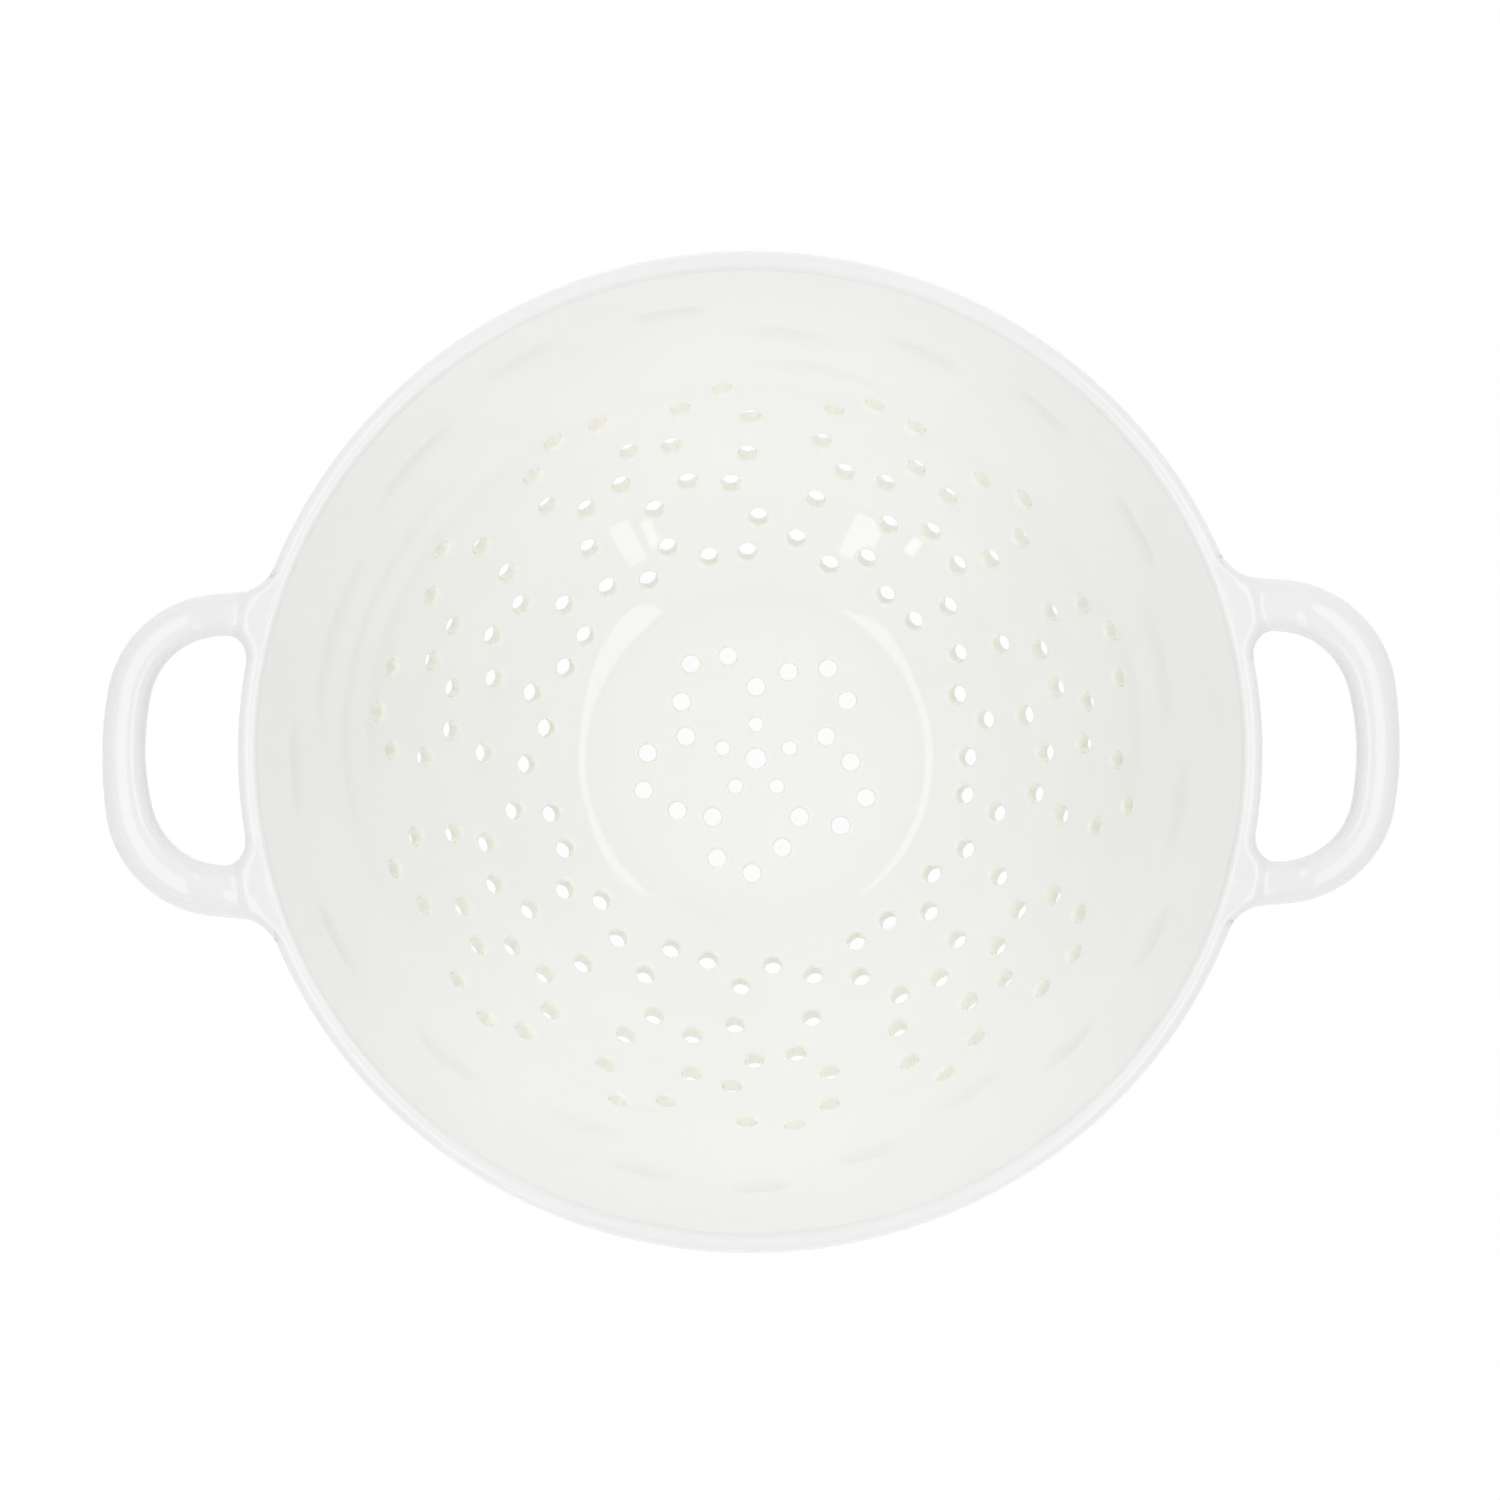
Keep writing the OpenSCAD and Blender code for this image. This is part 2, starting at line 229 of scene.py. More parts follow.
class Wall:
    """The bowl's inner face as a chain of arcs, with the floor before it. The outer face is parallel."""

    def __init__(self):
        floor_edge = np.array([FLOOR_R, FLOOR_TOP])
        t = TILTS
        crease = arc_end(floor_edge, CREASE_R, t[0], t[1])
        dish_r = (DISH_R - crease[0]) / (math.sin(t[2]) - math.sin(t[1]))
        dish = arc_end(crease, dish_r, t[1], t[2])
        waist_r = (WAIST_R - DISH_R) / (math.sin(t[3]) - math.sin(t[2]))
        waist = arc_end(dish, waist_r, t[2], t[3])
        inset = WALL - LIP_R
        self.lip_centre = np.array([RIM_R - LIP_R, RIM_Z - LIP_R])
        chord = self.lip_centre - (waist + inset * outward(t[3]))
        self.rim_tilt = 2 * math.atan2(chord[1], chord[0]) - t[3]
        side_r = chord[0] / (math.sin(self.rim_tilt) - math.sin(t[3])) - inset
        self.side_centre = waist - side_r * outward(t[3])
        self.side_r = side_r
        # The inner face runs on up to the smaller rounding inside the lip
        rise = RIM_Z - LIP_INNER_R - self.side_centre[1]
        reach = side_r + LIP_INNER_R
        self.inner_centre = self.side_centre + np.array([math.sqrt(reach ** 2 - rise ** 2), rise])
        self.inner_tilt = math.acos(-rise / reach)
        self.starts = [floor_edge, crease, dish, waist]
        self.radii = [CREASE_R, dish_r, waist_r, side_r]
        self.tilts = t + [self.inner_tilt]
        runs = [r * (b - a) for r, a, b in zip(self.radii, self.tilts, self.tilts[1:])]
        self.marks = np.concatenate([[0], np.cumsum(runs)])
        self.length = self.marks[-1]
        self.outer_length = self.length - side_r * (self.inner_tilt - self.rim_tilt)

    def tilt(self, s):
        """The wall's tilt this far up the slope from the floor's edge. It is 0 on the floor."""
        return np.interp(s, self.marks, self.tilts)

    def point(self, s):
        """The inner face's distance from the axis and its height. On the floor s is negative."""
        s = np.asarray(s, float)
        out = np.stack([FLOOR_R + s, np.full_like(s, FLOOR_TOP)], -1)
        for start, r, a, mark in zip(self.starts, self.radii, self.tilts, self.marks):
            out = np.where((s >= mark)[..., None], arc_end(start, r, a, self.tilt(s)), out)
        return out

    def face(self, s, depth):
        """A point this deep in the wall from the inner face, as distance from the axis and height."""
        return self.point(s) + depth * outward(self.tilt(s))


wall = Wall()


class Chart:
    """A flat map of the bowl's inner face that keeps circles round, so that one net can cover it."""

    def __init__(self):
        self.s = np.linspace(-FLOOR_R, wall.length, CHART_STEPS)
        r = np.maximum(wall.point(self.s)[:, 0], 0)
        steps = np.diff(self.s) / np.maximum((r[1:] + r[:-1]) / 2, TINY)
        on_wall = self.s[:-1] >= 0
        grown = np.concatenate([[0], np.cumsum(np.where(on_wall, steps, 0))])
        self.rho = np.where(self.s < 0, self.s + FLOOR_R, FLOOR_R * np.exp(grown))

    def to_map(self, s, bearing):
        rho = np.interp(s, self.s, self.rho)
        return np.stack([rho * np.cos(bearing), rho * np.sin(bearing)], -1)

    def to_slope(self, xy):
        rho = np.hypot(xy[..., 0], xy[..., 1])
        return np.interp(rho, self.rho, self.s), np.arctan2(xy[..., 1], xy[..., 0])


chart = Chart()


def hole_list():
    """Every drain hole: its place up the slope, its bearing and its radius."""
    holes = [(-FLOOR_R, 0.0, CENTRE_HOLE_R)]
    for k in range(SPOKE_COUNT):
        spoke = math.radians(SPOKE_BEARING - 360 / SPOKE_COUNT * k)
        holes.append((INNER_SHARE * ROSETTE_REACH - FLOOR_R, spoke, INNER_HOLE_R))
        holes.append((SPOKE_SHARE * ROSETTE_REACH - FLOOR_R, spoke, HOLE_R))
        for share, turn in PETAL_SHARES:
            holes.append((share * ROSETTE_REACH - FLOOR_R, spoke + math.radians(turn), HOLE_R))
    mid_r = wall.point(FLOWER_RISE)[0]
    for bearing in FLOWER_BEARINGS:
        for across, up in FLOWER_SHARES:
            s = FLOWER_RISE + up * FLOWER_HALF_H
            mean_r = (mid_r + wall.point(s)[0]) / 2
            holes.append((s, math.radians(bearing) + across * FLOWER_HALF_W / mean_r, HOLE_R))
    return holes


def revolve(points, bearing):
    """Places of (distance from the axis, height) turned to a bearing."""
    r, z, turn = np.broadcast_arrays(points[..., 0], points[..., 1], bearing)
    return np.stack([r * np.cos(turn), r * np.sin(turn), z], -1)


def hole_axes(s, bearing):
    """A hole's middle on the inner face, and its directions up the slope, across it and outward."""
    tilt = wall.tilt(s)
    middle = revolve(wall.point(s), bearing)
    across = np.array([-math.sin(bearing), math.cos(bearing), 0])
    return middle, revolve(unit(tilt), bearing), across, revolve(outward(tilt), bearing)


SLOPE_STEPS = np.linspace(-FLOOR_R, wall.length, SLOPE_COUNT)
FACE_R = {depth: wall.face(SLOPE_STEPS, depth)[:, 0] for depth in (0.0, WALL)}


def slope_of(points, depth):
    """How far up the slope these points of a face lie, by their distance from the axis."""
    return np.interp(np.hypot(points[:, 0], points[:, 1]), FACE_R[depth], SLOPE_STEPS)


def onto_face(points, out, depth):
    """Moves points along a hole's direction onto the face at this depth, and gives its normals there."""
    for _ in range(MOVES):
        s = slope_of(points, depth)
        bearing = np.arctan2(points[:, 1], points[:, 0])
        on_face = revolve(wall.face(s, depth), bearing)
        normal = revolve(outward(wall.tilt(s)), bearing)
        gap = np.einsum("ij,ij->i", on_face - points, normal)
        points = points + (gap / (normal @ out))[:, None] * out
    return points, normal


class Net:
    """A mesh as it grows: places, normals, faces, and how deep in a hole each place is, as a share."""

    def __init__(self):
        self.places = []
        self.normals = []
        self.depths = []
        self.faces = []
        self.count = 0

    def add(self, places, normals, depth=0.0):
        self.places.append(np.asarray(places, float))
        self.normals.append(np.asarray(normals, float))
        self.depths.append(np.full(len(places), float(depth)))
        first = self.count
        self.count += len(places)
        return np.arange(first, self.count)

    def band(self, low, high):
        """Four-sided faces between two closed rings of as many points."""
        n = len(low)
        for k in range(n):
            j = (k + 1) % n
            self.faces.append((low[k], low[j], high[j], high[k]))


def mouth_rings(net, hole, depth, sign):
    """The rounded mouth of a hole on one face. Returns its outermost ring, that ring's places and its
    ring in the bore. Sign is -1 on the inner face and 1 on the outer one."""
    s, bearing, r = hole
    middle, up, across, out = hole_axes(s, bearing)
    turns = 2 * math.pi * np.arange(HOLE_SIDES) / HOLE_SIDES
    spokes = np.cos(turns)[:, None] * up + np.sin(turns)[:, None] * across
    rings = []
    # The wider ring comes last, so that its places are the ones returned
    for radius in (r + MOUTH, r + MOUTH + MOUTH_APRON):
        edge, normal = onto_face(middle + radius * spokes, out, depth)
        rings.insert(0, net.add(edge, sign * normal))
    for a in np.radians(MOUTH_BENDS):
        radius = r + MOUTH * (1 - math.sin(a))
        places, normal = onto_face(middle + radius * spokes, out, depth)
        sunk = places - sign * MOUTH * (1 - math.cos(a)) * out
        lean = math.cos(a) * sign * normal - math.sin(a) * spokes
        rings.append(net.add(sunk, lean, math.sin(a) ** 2))
    for low, high in zip(rings, rings[1:]):
        pair = (low, high) if sign < 0 else (high, low)
        net.band(*pair)
    return rings[0], edge, rings[-1]


def perforated_face(net, depth, sign, holes, top_s):
    """One face of the bowl up to a height, with a mouth at each hole. Returns the top ring and bores.

    The places are laid out in the flat map, where a net of triangles is drawn between them."""
    flat, known, loops, bores, discs = [], [], [], [], []
    for hole in holes:
        outer, edge, bore = mouth_rings(net, hole, depth, sign)
        bores.append(bore)
        s = slope_of(edge, depth)
        bearing = np.arctan2(edge[:, 1], edge[:, 0])
        first = len(flat)
        flat.extend(chart.to_map(s, bearing))
        known.extend(outer)
        loops.append(list(range(first, first + HOLE_SIDES)))
        ring = np.array(flat[first:])
        middle = ring.mean(0)
        discs.append((middle, np.hypot(*(ring - middle).T).max()))
    normal = revolve(outward(wall.tilt(top_s)), RING_BEARINGS)
    top = net.add(revolve(wall.face(top_s, depth), RING_BEARINGS), sign * normal)
    first = len(flat)
    flat.extend(chart.to_map(top_s, RING_BEARINGS))
    known.extend(top)
    loops.append(list(range(first, first + RING_SIDES)))
    fixed = len(flat)
    top_rho = float(np.interp(top_s, chart.s, chart.rho))
    rings = int(top_rho / (POINT_GAP * ROW_SHARE))
    middles = np.array([d[0] for d in discs])
    widths = np.array([d[1] for d in discs])
    # The crease has close rows of its own, since a lamp's sharp edge shows in it
    crease = np.interp(np.linspace(0, wall.marks[1], CREASE_ROWS), chart.s, chart.rho)
    for rho in crease:
        flat.extend(rho * np.stack([np.cos(RING_BEARINGS), np.sin(RING_BEARINGS)], -1))
    for i in range(1, rings):
        rho = top_rho * i / rings
        if crease[0] - POINT_GAP / 2 < rho < crease[-1] + POINT_GAP / 2:
            continue
        n = min(RING_SIDES, max(LEAST_SIDES, int(2 * math.pi * rho / POINT_GAP)))
        a = 2 * math.pi * (np.arange(n) + (i % 2) / 2) / n
        ring = np.stack([rho * np.cos(a), rho * np.sin(a)], -1)
        far = np.hypot(*(ring[:, None] - middles[None]).transpose(2, 0, 1))
        ring = ring[(far > widths + CLEAR_SHARE * POINT_GAP).all(1)]
        flat.extend(ring)
    flat = np.array(flat)
    free_s, free_bearing = chart.to_slope(flat[fixed:])
    normal = revolve(outward(wall.tilt(free_s)), free_bearing)
    known.extend(net.add(revolve(wall.face(free_s, depth), free_bearing), sign * normal))
    edges = [(loop[k], loop[(k + 1) % len(loop)]) for loop in loops for k in range(len(loop))]
    owner = np.full(len(flat), -1)
    for i, loop in enumerate(loops[:-1]):
        owner[loop] = i
    scaled = [Vector(p / MM) for p in flat]
    _, _, triangles, origins, _, _ = delaunay_2d_cdt(scaled, edges, [], 0, TINY, True)
    for tri in triangles:
        ids = [origins[v][0] for v in tri]
        # A triangle whose corners all lie on one hole's ring lies in the hole
        if owner[ids[0]] >= 0 and len(set(owner[ids])) == 1:
            continue
        corners = [int(known[i]) for i in ids]
        net.faces.append(tuple(corners if sign < 0 else corners[::-1]))
    return top, bores


def bowl_net():
    """The whole bowl: both faces with their holes, the plain wall above them, and the lip."""
    net = Net()
    holes = hole_list()
    top_s = FLOWER_RISE + FLOWER_HALF_H + HOLE_R + MOUTH + 3 * MOUTH_APRON
    inner_top, inner_bores = perforated_face(net, 0.0, -1, holes, top_s)
    outer_top, outer_bores = perforated_face(net, WALL, 1, holes, top_s)
    for low, high in zip(inner_bores, outer_bores):
        net.band(low, high)
    rows = []
    for s in np.linspace(top_s, wall.length, SIDE_ROWS)[1:]:
        rows.append((wall.face(s, 0.0), -outward(wall.tilt(s))))
    quarter = math.pi / 2
    for a in np.linspace(quarter + wall.inner_tilt, quarter, LIP_INNER_ROWS)[1:]:
        rows.append((wall.inner_centre + LIP_INNER_R * unit(a), unit(a)))
    for a in np.linspace(quarter, wall.rim_tilt - quarter, LIP_ROWS):
        rows.append((wall.lip_centre + LIP_R * unit(a), unit(a)))
    for s in np.linspace(wall.outer_length, top_s, SIDE_ROWS)[1:-1]:
        rows.append((wall.face(s, WALL), outward(wall.tilt(s))))
    last = inner_top
    for place, lean in rows:
        ring = net.add(revolve(place, RING_BEARINGS), revolve(lean, RING_BEARINGS))
        net.band(ring, last)
        last = ring
    net.band(outer_top, last)
    return net


def build(name, places, normals, faces, depths=None):
    """A mesh object in the part's frame, smooth-shaded with its own normals."""
    mesh = bpy.data.meshes.new(name)
    mesh.from_pydata([tuple(p) for p in places], [], [tuple(int(i) for i in f) for f in faces])
    mesh.polygons.foreach_set("use_smooth", [True] * len(mesh.polygons))
    if depths is not None:
        layer = mesh.attributes.new("hole_depth", "FLOAT", "POINT")
        layer.data.foreach_set("value", np.asarray(depths, np.float32))
    long = np.linalg.norm(normals, axis=1, keepdims=True)
    mesh.normals_split_custom_set_from_vertices((normals / long).astype(np.float32))
    mesh.update()
    obj = bpy.data.objects.new(name, mesh)
    bpy.context.scene.collection.objects.link(obj)
    return obj


def build_oval(name, net):
    """An object of a finished net, out of round like the bowl."""
    places = np.concatenate(net.places) * STRETCH
    normals = np.concatenate(net.normals) / STRETCH
    return build(name, places, normals, net.faces, np.concatenate(net.depths))


def round_max(a, b, r):
    """Where two solids overlap, the distance outside what they share, with its edge rounded."""
    corner = np.hypot(np.maximum(a + r, 0), np.maximum(b + r, 0))
    return corner + np.minimum(np.maximum(a + r, b + r), 0) - r


def round_min(a, b, r):
    """Where two solids join, the distance outside them, with their corner filled to a radius."""
    corner = np.hypot(np.maximum(r - a, 0), np.maximum(r - b, 0))
    return np.maximum(r, np.minimum(a, b)) - corner


def smooth(x):
    """From 0 to 1 without a kink, as x goes from 0 to 1."""
    x = np.clip(x, 0, 1)
    return x * x * (3 - 2 * x)


class Handle:
    """A loop handle that grows out of the rim, as a distance field in the frame of a round bowl."""

    def __init__(self):
        reach = (RIM_R + REACH) / STRETCH[0] - SEAM
        self.bow_x = reach - BAR_W / 2 - BOW_R
        self.corner = np.array([self.bow_x, 0]) + (BOW_R - CORNER_R) * unit(HALF_TURN)
        self.arm_out = unit(math.pi / 2 - SPLAY)
        self.arm_dir = unit(math.pi - SPLAY)
        self.arm_start = self.corner + CORNER_R * self.arm_out

    def across(self, x, y):
        """How far a place lies outside the bar's middle line, from above."""
        y = np.abs(y)
        bow = np.hypot(x - self.bow_x, y) - BOW_R
        corner = np.hypot(x - self.corner[0], y - self.corner[1]) - CORNER_R
        dx, dy = x - self.arm_start[0], y - self.arm_start[1]
        arm = dx * self.arm_out[0] + dy * self.arm_out[1]
        on_arm = dx * self.arm_dir[0] + dy * self.arm_dir[1] > 0
        on_bow = np.arctan2(y, x - self.bow_x) < HALF_TURN
        return np.where(on_bow, bow, np.where(on_arm, arm, corner))

    def wall_gap(self, r, z):
        """How far a place lies outside the bowl's outline at its own height."""
        foot = wall.lip_centre[1] - LIP_R * math.cos(wall.rim_tilt)
        side = wall.side_centre[0] + np.sqrt((wall.side_r + WALL) ** 2 - (z - wall.side_centre[1]) ** 2)
        dz = np.clip(wall.lip_centre[1] - z, 0, LIP_R)
        lip = wall.lip_centre[0] + np.sqrt(LIP_R ** 2 - dz ** 2)
        return r - np.where(z < foot, side, lip)

    def bowl_gap(self, r, z):
        """Distance outside the bowl with its hollow filled."""
        side = np.hypot(r - wall.side_centre[0], z - wall.side_centre[1]) - (wall.side_r + WALL - LIP_R)
        dx, dz = r - wall.lip_centre[0], z - wall.lip_centre[1]
        past_side = dx * math.cos(wall.rim_tilt) + dz * math.sin(wall.rim_tilt) > 0
        return np.where((dx > 0) & past_side, np.hypot(dx, dz), np.maximum(side, dz)) - LIP_R

    def field(self, p):
        """Below zero inside the handle."""
        x, y, z = p[..., 0], p[..., 1], p[..., 2]
        r = np.hypot(x, y)
        u = self.across(x, np.where(y > 0, y / WIDE_SHARE, y))
        bar = np.abs(u) - BAR_W / 2 - ARM_SWELL / 2 * smooth(y / SWELL_RUN)
        out = self.wall_gap(r, z)
        free = smooth(out / ROOT_RUN)
        step = np.hypot(x + DIP_SWING, y) - np.hypot(DIP_X + DIP_SWING, DIP_Y)
        low = smooth(step / DIP_RUN + 0.5) * (1 - smooth((x - RISE_X) / RISE_RUN))
        crown = (u + CROWN_OFF) ** 2 / (2 * CROWN_R) * free
        grip = GRIP_DROP * smooth((x - RISE_X) / RISE_RUN)
        top = RIM_Z - ARM_DROP * low - grip - crown
        bottom = RIM_Z - BAR_H - ARM_DROP * low
        upright = np.abs(z - (top + bottom) / 2) - (top - bottom) / 2
        lean = smooth(u / BAR_W + 0.5)
        edge = LIP_R + (EDGE_IN + (EDGE_OUT - EDGE_IN) * lean - LIP_R) * free
        fillet = FILLET_IN + (FILLET_OUT - FILLET_IN) * lean
        blended = round_max(round_min(out, bar, fillet), upright, edge)
        filled = self.bowl_gap(r, z)
        under = UNDER_FILLET * smooth(((top + bottom) / 2 - z) / UNDER_FILLET)
        joined = np.minimum(blended, round_min(round_max(bar, upright, edge), filled, under))
        apart = np.maximum(-(filled + ROOT_DEPTH), bar - ROOT_WIDTH)
        return np.maximum(joined + SEAM, np.maximum(apart, ROOT_R - r))


def slope_of_field(field, p):
    """The field's steepest slope at these places, which points out of the form."""
    steps = FIELD_STEP * np.eye(3)
    return np.stack([(field(p + step) - field(p - step)) / (2 * FIELD_STEP) for step in steps], -1)


def skin_of(field, low, high, cell):
    """A four-sided net over the surface where a field is zero, each point moved onto the surface."""
    steps = [np.arange(a, b, cell) for a, b in zip(low, high)]
    grid = np.stack(np.meshgrid(*steps, indexing="ij"), -1)
    value = field(grid)
    inside = value < 0
    shape = np.array(value.shape) - 1
    corners = [np.array([i, j, k]) for i in (0, 1) for j in (0, 1) for k in (0, 1)]

    def part(array, offset):
        i, j, k = offset
        return array[i:i + shape[0], j:j + shape[1], k:k + shape[2]]

    total = sum(part(inside, c).astype(int) for c in corners)
    skin = (total > 0) & (total < len(corners))
    crossing = np.zeros((*shape, 3))
    count = np.zeros(shape)
    for a in corners:
        for axis in range(3):
            if a[axis]:
                continue
            b = a + np.eye(3, dtype=int)[axis]
            va, vb = part(value, a), part(value, b)
            cut = part(inside, a) != part(inside, b)
            share = np.where(cut, va / np.where(cut, va - vb, 1), 0)
            place = a + share[..., None] * (b - a)
            crossing += np.where(cut[..., None], place, 0)
            count += cut
    index = np.full(shape, -1)
    index[skin] = np.arange(skin.sum())
    cells = np.argwhere(skin)
    places = np.array(low) + cell * (cells + crossing[skin] / count[skin][:, None])
    faces = []
    for axis in range(3):
        u, v = (axis + 1) % 3, (axis + 2) % 3
        inner = [slice(1, n) for n in shape]
        inner[axis] = slice(0, shape[axis])
        start = inside[tuple(inner)]
        shifted = list(inner)
        shifted[axis] = slice(1, shape[axis] + 1)
        end = inside[tuple(shifted)]
        for flip in (False, True):
            found = np.argwhere((start & ~end) if not flip else (~start & end))
            found[:, u] += 1
            found[:, v] += 1
            around = []
            for du, dv in ((1, 1), (0, 1), (0, 0), (1, 0)):
                c = found.copy()
                c[:, u] -= du
                c[:, v] -= dv
                around.append(index[tuple(c.T)])
            quads = np.stack(around, -1)
            faces.append(quads[:, ::-1] if flip else quads)
    for _ in range(MOVES):
        grad = slope_of_field(field, places)
        move = field(places) / np.maximum((grad ** 2).sum(-1), LEAST_SLOPE)
        places = places - np.clip(move, -cell / 2, cell / 2)[:, None] * grad
    return places, slope_of_field(field, places), np.concatenate(faces)


def make_handles():
    """Two handles of one shape, the left one turned half round."""
    places, normals, faces = skin_of(Handle().field, HANDLE_LOW, HANDLE_HIGH, HANDLE_CELL)
    handles = {}
    for node, angle in TURNS.items():
        c, n = math.cos(angle), math.sin(angle)
        turn = np.array([[c, n, 0], [-n, c, 0], [0, 0, 1]])
        turned, leaning = places @ turn * STRETCH, normals @ turn / STRETCH
        handles[node] = build(node + "_glazed", turned, leaning, faces)
    return handles


def foot_side(side, r, fillet):
    """One side of the foot ring's section, from the bowl down to the flat underside. Side is 1 or -1."""
    depth = WALL + fillet
    s = np.interp(r + side * fillet, wall.face(SLOPE_STEPS, depth)[:, 0], SLOPE_STEPS)
    centre = wall.face(s, depth)
    start = math.pi / 2 + float(wall.tilt(s))
    level = 0.0 if side > 0 else math.pi
    edge = np.array([r - side * FOOT_BEVEL, FOOT_BEVEL])
    hollows = np.linspace(start, math.pi - level, FOOT_HOLLOW_ROWS)
    bends = np.linspace(level, level - side * math.pi / 2, FOOT_BEND_ROWS)
    hollow = [(centre + fillet * unit(a), -unit(a)) for a in hollows]
    return hollow + [(edge + FOOT_BEVEL * unit(a), unit(a)) for a in bends]


def make_foot():
    """The foot ring: a rounded band with a hollow fillet where it meets the bowl on either side."""
    outer = foot_side(1, FOOT_R, FOOT_FILLETS[0])
    inner = foot_side(-1, FOOT_R - FOOT_T, FOOT_FILLETS[1])
    up = np.array([0.0, 1.0])
    section = outer + inner[::-1]
    section += [(inner[0][0] + FOOT_SUNK * up, up), (outer[0][0] + FOOT_SUNK * up, up)]
    net = Net()
    rings = []
    for place, lean in section:
        rings.append(net.add(revolve(place, RING_BEARINGS), revolve(lean, RING_BEARINGS)))
    for first, second in zip(rings, rings[1:] + rings[:1]):
        net.band(second, first)
    return build_oval("foot_ring_glazed", net)


def link(tree, a, out, b, into):
    tree.links.new(a.outputs[out], b.inputs[into])


def noise(tree, place, scale):
    node = tree.nodes.new("ShaderNodeTexNoise")
    node.inputs["Scale"].default_value = scale
    node.inputs["Detail"].default_value = NOISE_DETAIL
    link(tree, place, "Object", node, "Vector")
    return node


def ramp(tree, source, out, stops):
    """Colours at stops along a value, each stop as its place and its colour."""
    node = tree.nodes.new("ShaderNodeValToRGB")
    link(tree, source, out, node, "Fac")
    while len(node.color_ramp.elements) < len(stops):
        node.color_ramp.elements.new(1)
    for element, (position, colour) in zip(node.color_ramp.elements, stops):
        element.position = position
        element.color = (*colour, 1)
    return node


def mixed(tree, share, first, second):
    """Between a colour and a second one, by a share from 0 to 1. The second may be a plain colour."""
    node = tree.nodes.new("ShaderNodeMix")
    node.data_type = "RGBA"
    tree.links.new(share, node.inputs["Factor"])
    first_colour, second_colour = [s for s in node.inputs if s.type == "RGBA"]
    tree.links.new(first, first_colour)
    if isinstance(second, tuple):
        second_colour.default_value = (*second, 1)
    else:
        tree.links.new(second, second_colour)
    return [s for s in node.outputs if s.type == "RGBA"][0]


def lip_shade_share(tree, place):
    """From 0 below the bowl's lip to 1 on it, by height, which brings in the lip's painted shade."""
    parts = tree.nodes.new("ShaderNodeSeparateXYZ")
    link(tree, place, "Object", parts, "Vector")
    rise = tree.nodes.new("ShaderNodeMapRange")
    rise.inputs["From Min"].default_value = LIP_SHADE_FADE[0]
    rise.inputs["From Max"].default_value = LIP_SHADE_FADE[1]
    link(tree, parts, "Z", rise, "Value")
    return rise.outputs["Result"]


def clouded(tree, cloud, colour):
    """A colour with a breath of uneven tone."""
    dim = [c * CLOUD_DIM for c in colour]
    return ramp(tree, cloud, "Fac", list(zip(CLOUD_SPAN, (dim, colour)))).outputs["Color"]


def glaze(name, below, lip):
    """Gloss white glaze: one colour below the lip and one on it, creamier where it pools in the holes and
    lightened there as painted light, over a faintly wavy surface. The lip's and the handles' colours are
    darkened as painted shade."""
    material = bpy.data.materials.new(name)
    material.use_nodes = True
    tree = material.node_tree
    shader = tree.nodes["Principled BSDF"]
    shader.inputs["Roughness"].default_value = GLOSS_ROUGHNESS
    shader.inputs["IOR"].default_value = GLAZE_IOR
    place = tree.nodes.new("ShaderNodeTexCoord")
    cloud = noise(tree, place, CLOUD_SCALE)
    coat = mixed(tree, lip_shade_share(tree, place), clouded(tree, cloud, below), clouded(tree, cloud, lip))
    depth = tree.nodes.new("ShaderNodeAttribute")
    depth.attribute_name = "hole_depth"
    # The holes take the pooled glaze's cream, lightened as painted light in the bores
    tree.links.new(mixed(tree, depth.outputs["Fac"], coat, POOLED_GLAZE_AND_PAINTED_LIGHT), shader.inputs["Base Color"])
    bump = tree.nodes.new("ShaderNodeBump")
    bump.inputs["Strength"].default_value = WAVE_STRENGTH
    bump.inputs["Distance"].default_value = WAVE_HEIGHT
    link(tree, noise(tree, place, WAVE_SCALE), "Fac", bump, "Height")
    link(tree, bump, "Normal", shader, "Normal")
    return material


def dress(obj, node, material):
    """Gives a piece its material, and says which node it rides with, which it replaces."""
    obj.data.materials.append(material)
    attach(obj, "root")
    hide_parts(node)


# The lip and the handles get darker colours as painted shade
bowl_glaze = glaze("bowl_glaze", BODY_COLOUR, LIP_SHADED_COLOUR)
handle_glaze = glaze("handle_glaze", GRIP_SHADED_COLOUR, GRIP_SHADED_COLOUR)
foot_glaze = glaze("foot_glaze", BODY_COLOUR, BODY_COLOUR)

dress(build_oval("bowl_glazed", bowl_net()), "bowl", bowl_glaze)
dress(make_foot(), "foot_ring", foot_glaze)
for node, obj in make_handles().items():
    dress(obj, node, handle_glaze)
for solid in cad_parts.values():
    solid.data.materials.clear()
    solid.data.materials.append(bowl_glaze)


def make_camera():
    """Straight above, a little right of the bowl's axis and a little towards its near side."""
    camera = bpy.data.cameras.new("camera")
    camera.sensor_width = SENSOR
    camera.lens = LENS
    obj = bpy.data.objects.new("camera", camera)
    bpy.context.scene.collection.objects.link(obj)
    look = Vector(CAMERA_AIM) - Vector(CAMERA_PLACE)
    obj.location = CAMERA_PLACE
    obj.rotation_mode = "QUATERNION"
    obj.rotation_quaternion = Vector((0, 0, -1)).rotation_difference(look)
    bpy.context.scene.camera = obj


def diffuse(tree, level):
    node = tree.nodes.new("ShaderNodeBsdfDiffuse")
    node.inputs["Color"].default_value = (level, level, level, 1)
    return node


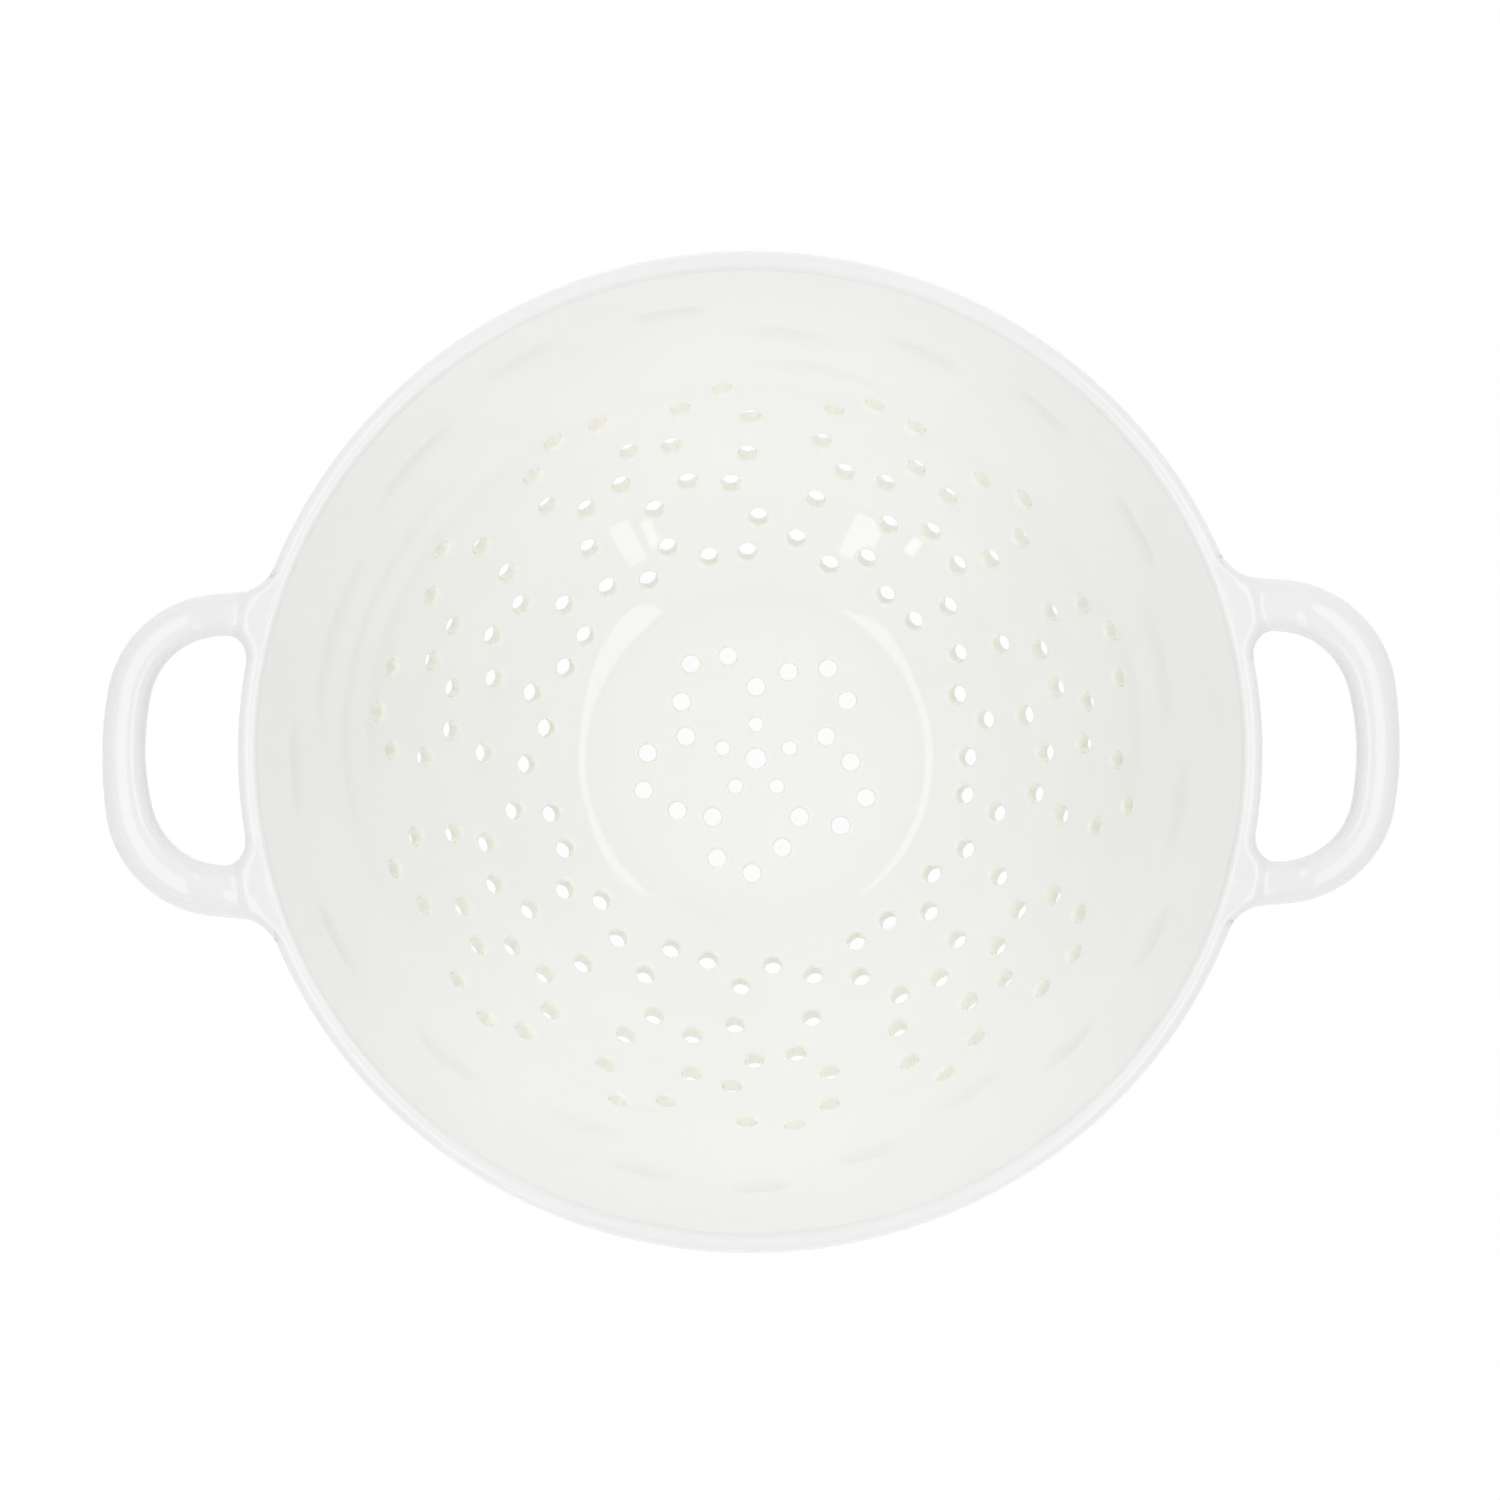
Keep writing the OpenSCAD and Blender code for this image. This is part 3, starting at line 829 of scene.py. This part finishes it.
def floor_material():
    """A white floor that looks almost evenly white to the camera and in reflections, and still takes a
    faint shadow there. Its glow lights nothing."""
    material = bpy.data.materials.new("floor")
    material.use_nodes = True
    tree = material.node_tree
    tree.nodes.remove(tree.nodes["Principled BSDF"])
    shine = tree.nodes.new("ShaderNodeEmission")
    shine.inputs["Strength"].default_value = FLOOR_GLOW
    seen = tree.nodes.new("ShaderNodeAddShader")
    link(tree, diffuse(tree, 1 - FLOOR_GLOW), 0, seen, 0)
    link(tree, shine, 0, seen, 1)
    path = tree.nodes.new("ShaderNodeLightPath")
    seeing = path.outputs["Is Camera Ray"]
    for ray in ("Is Glossy Ray", "Is Transmission Ray"):
        either = tree.nodes.new("ShaderNodeMath")
        either.operation = "MAXIMUM"
        tree.links.new(seeing, either.inputs[0])
        link(tree, path, ray, either, 1)
        seeing = either.outputs[0]
    mix = tree.nodes.new("ShaderNodeMixShader")
    tree.links.new(seeing, mix.inputs[0])
    link(tree, diffuse(tree, FLOOR_BASE), 0, mix, 1)
    link(tree, seen, 0, mix, 2)
    link(tree, mix, 0, tree.nodes["Material Output"], "Surface")
    return material


def make_floor():
    half = FLOOR_HALF
    mesh = bpy.data.meshes.new("floor")
    corners = [(-half, -half, 0), (half, -half, 0), (half, half, 0), (-half, half, 0)]
    mesh.from_pydata(corners, [], [(0, 1, 2, 3)])
    mesh.materials.append(floor_material())
    obj = bpy.data.objects.new("floor", mesh)
    bpy.context.scene.collection.objects.link(obj)


def softbox(name, shape, bearings, heights, slide, radiance):
    """A flat lamp that faces the bowl and fills these angles of the sky, then slides along its own
    width. Radiance 1 looks white."""
    bearing, height = math.radians(sum(bearings) / 2), math.radians(sum(heights) / 2)
    half_turn = math.radians((bearings[1] - bearings[0]) / 2)
    half_rise = math.radians((heights[1] - heights[0]) / 2)
    light = bpy.data.lights.new(name, "AREA")
    light.shape = shape
    light.size = 2 * LAMP_REACH * math.cos(height) * math.tan(half_turn)
    light.size_y = 2 * LAMP_REACH * math.tan(half_rise)
    fill = math.pi / 4 if shape == "ELLIPSE" else 1
    light.energy = radiance * math.pi * fill * light.size * light.size_y
    obj = bpy.data.objects.new(name, light)
    obj.visible_glossy = name not in UNSEEN
    bpy.context.scene.collection.objects.link(obj)
    flat = math.cos(height)
    way = Vector((math.cos(bearing) * flat, math.sin(bearing) * flat, math.sin(height)))
    along = Vector((-math.sin(bearing), math.cos(bearing), 0))
    obj.location = Vector((0, 0, RIM_Z / 2)) + LAMP_REACH * (way + slide * along)
    obj.rotation_mode = "QUATERNION"
    obj.rotation_quaternion = way.to_track_quat("Z", "Y")


def make_world():
    """A soft grey sky, brighter towards the horizon, as in a white room."""
    world = bpy.data.worlds.new("studio")
    world.use_nodes = True
    tree = world.node_tree
    place = tree.nodes.new("ShaderNodeTexCoord")
    parts = tree.nodes.new("ShaderNodeSeparateXYZ")
    link(tree, place, "Generated", parts, "Vector")
    fade = ramp(tree, parts, "Z", [(height, (level, level, level)) for height, level in SKY])
    link(tree, fade, "Color", tree.nodes["Background"], "Color")
    bpy.context.scene.world = world


make_camera()
make_floor()
for box in SOFTBOXES:
    softbox(*box)
make_world()
bpy.context.scene.view_settings.view_transform = "Standard"
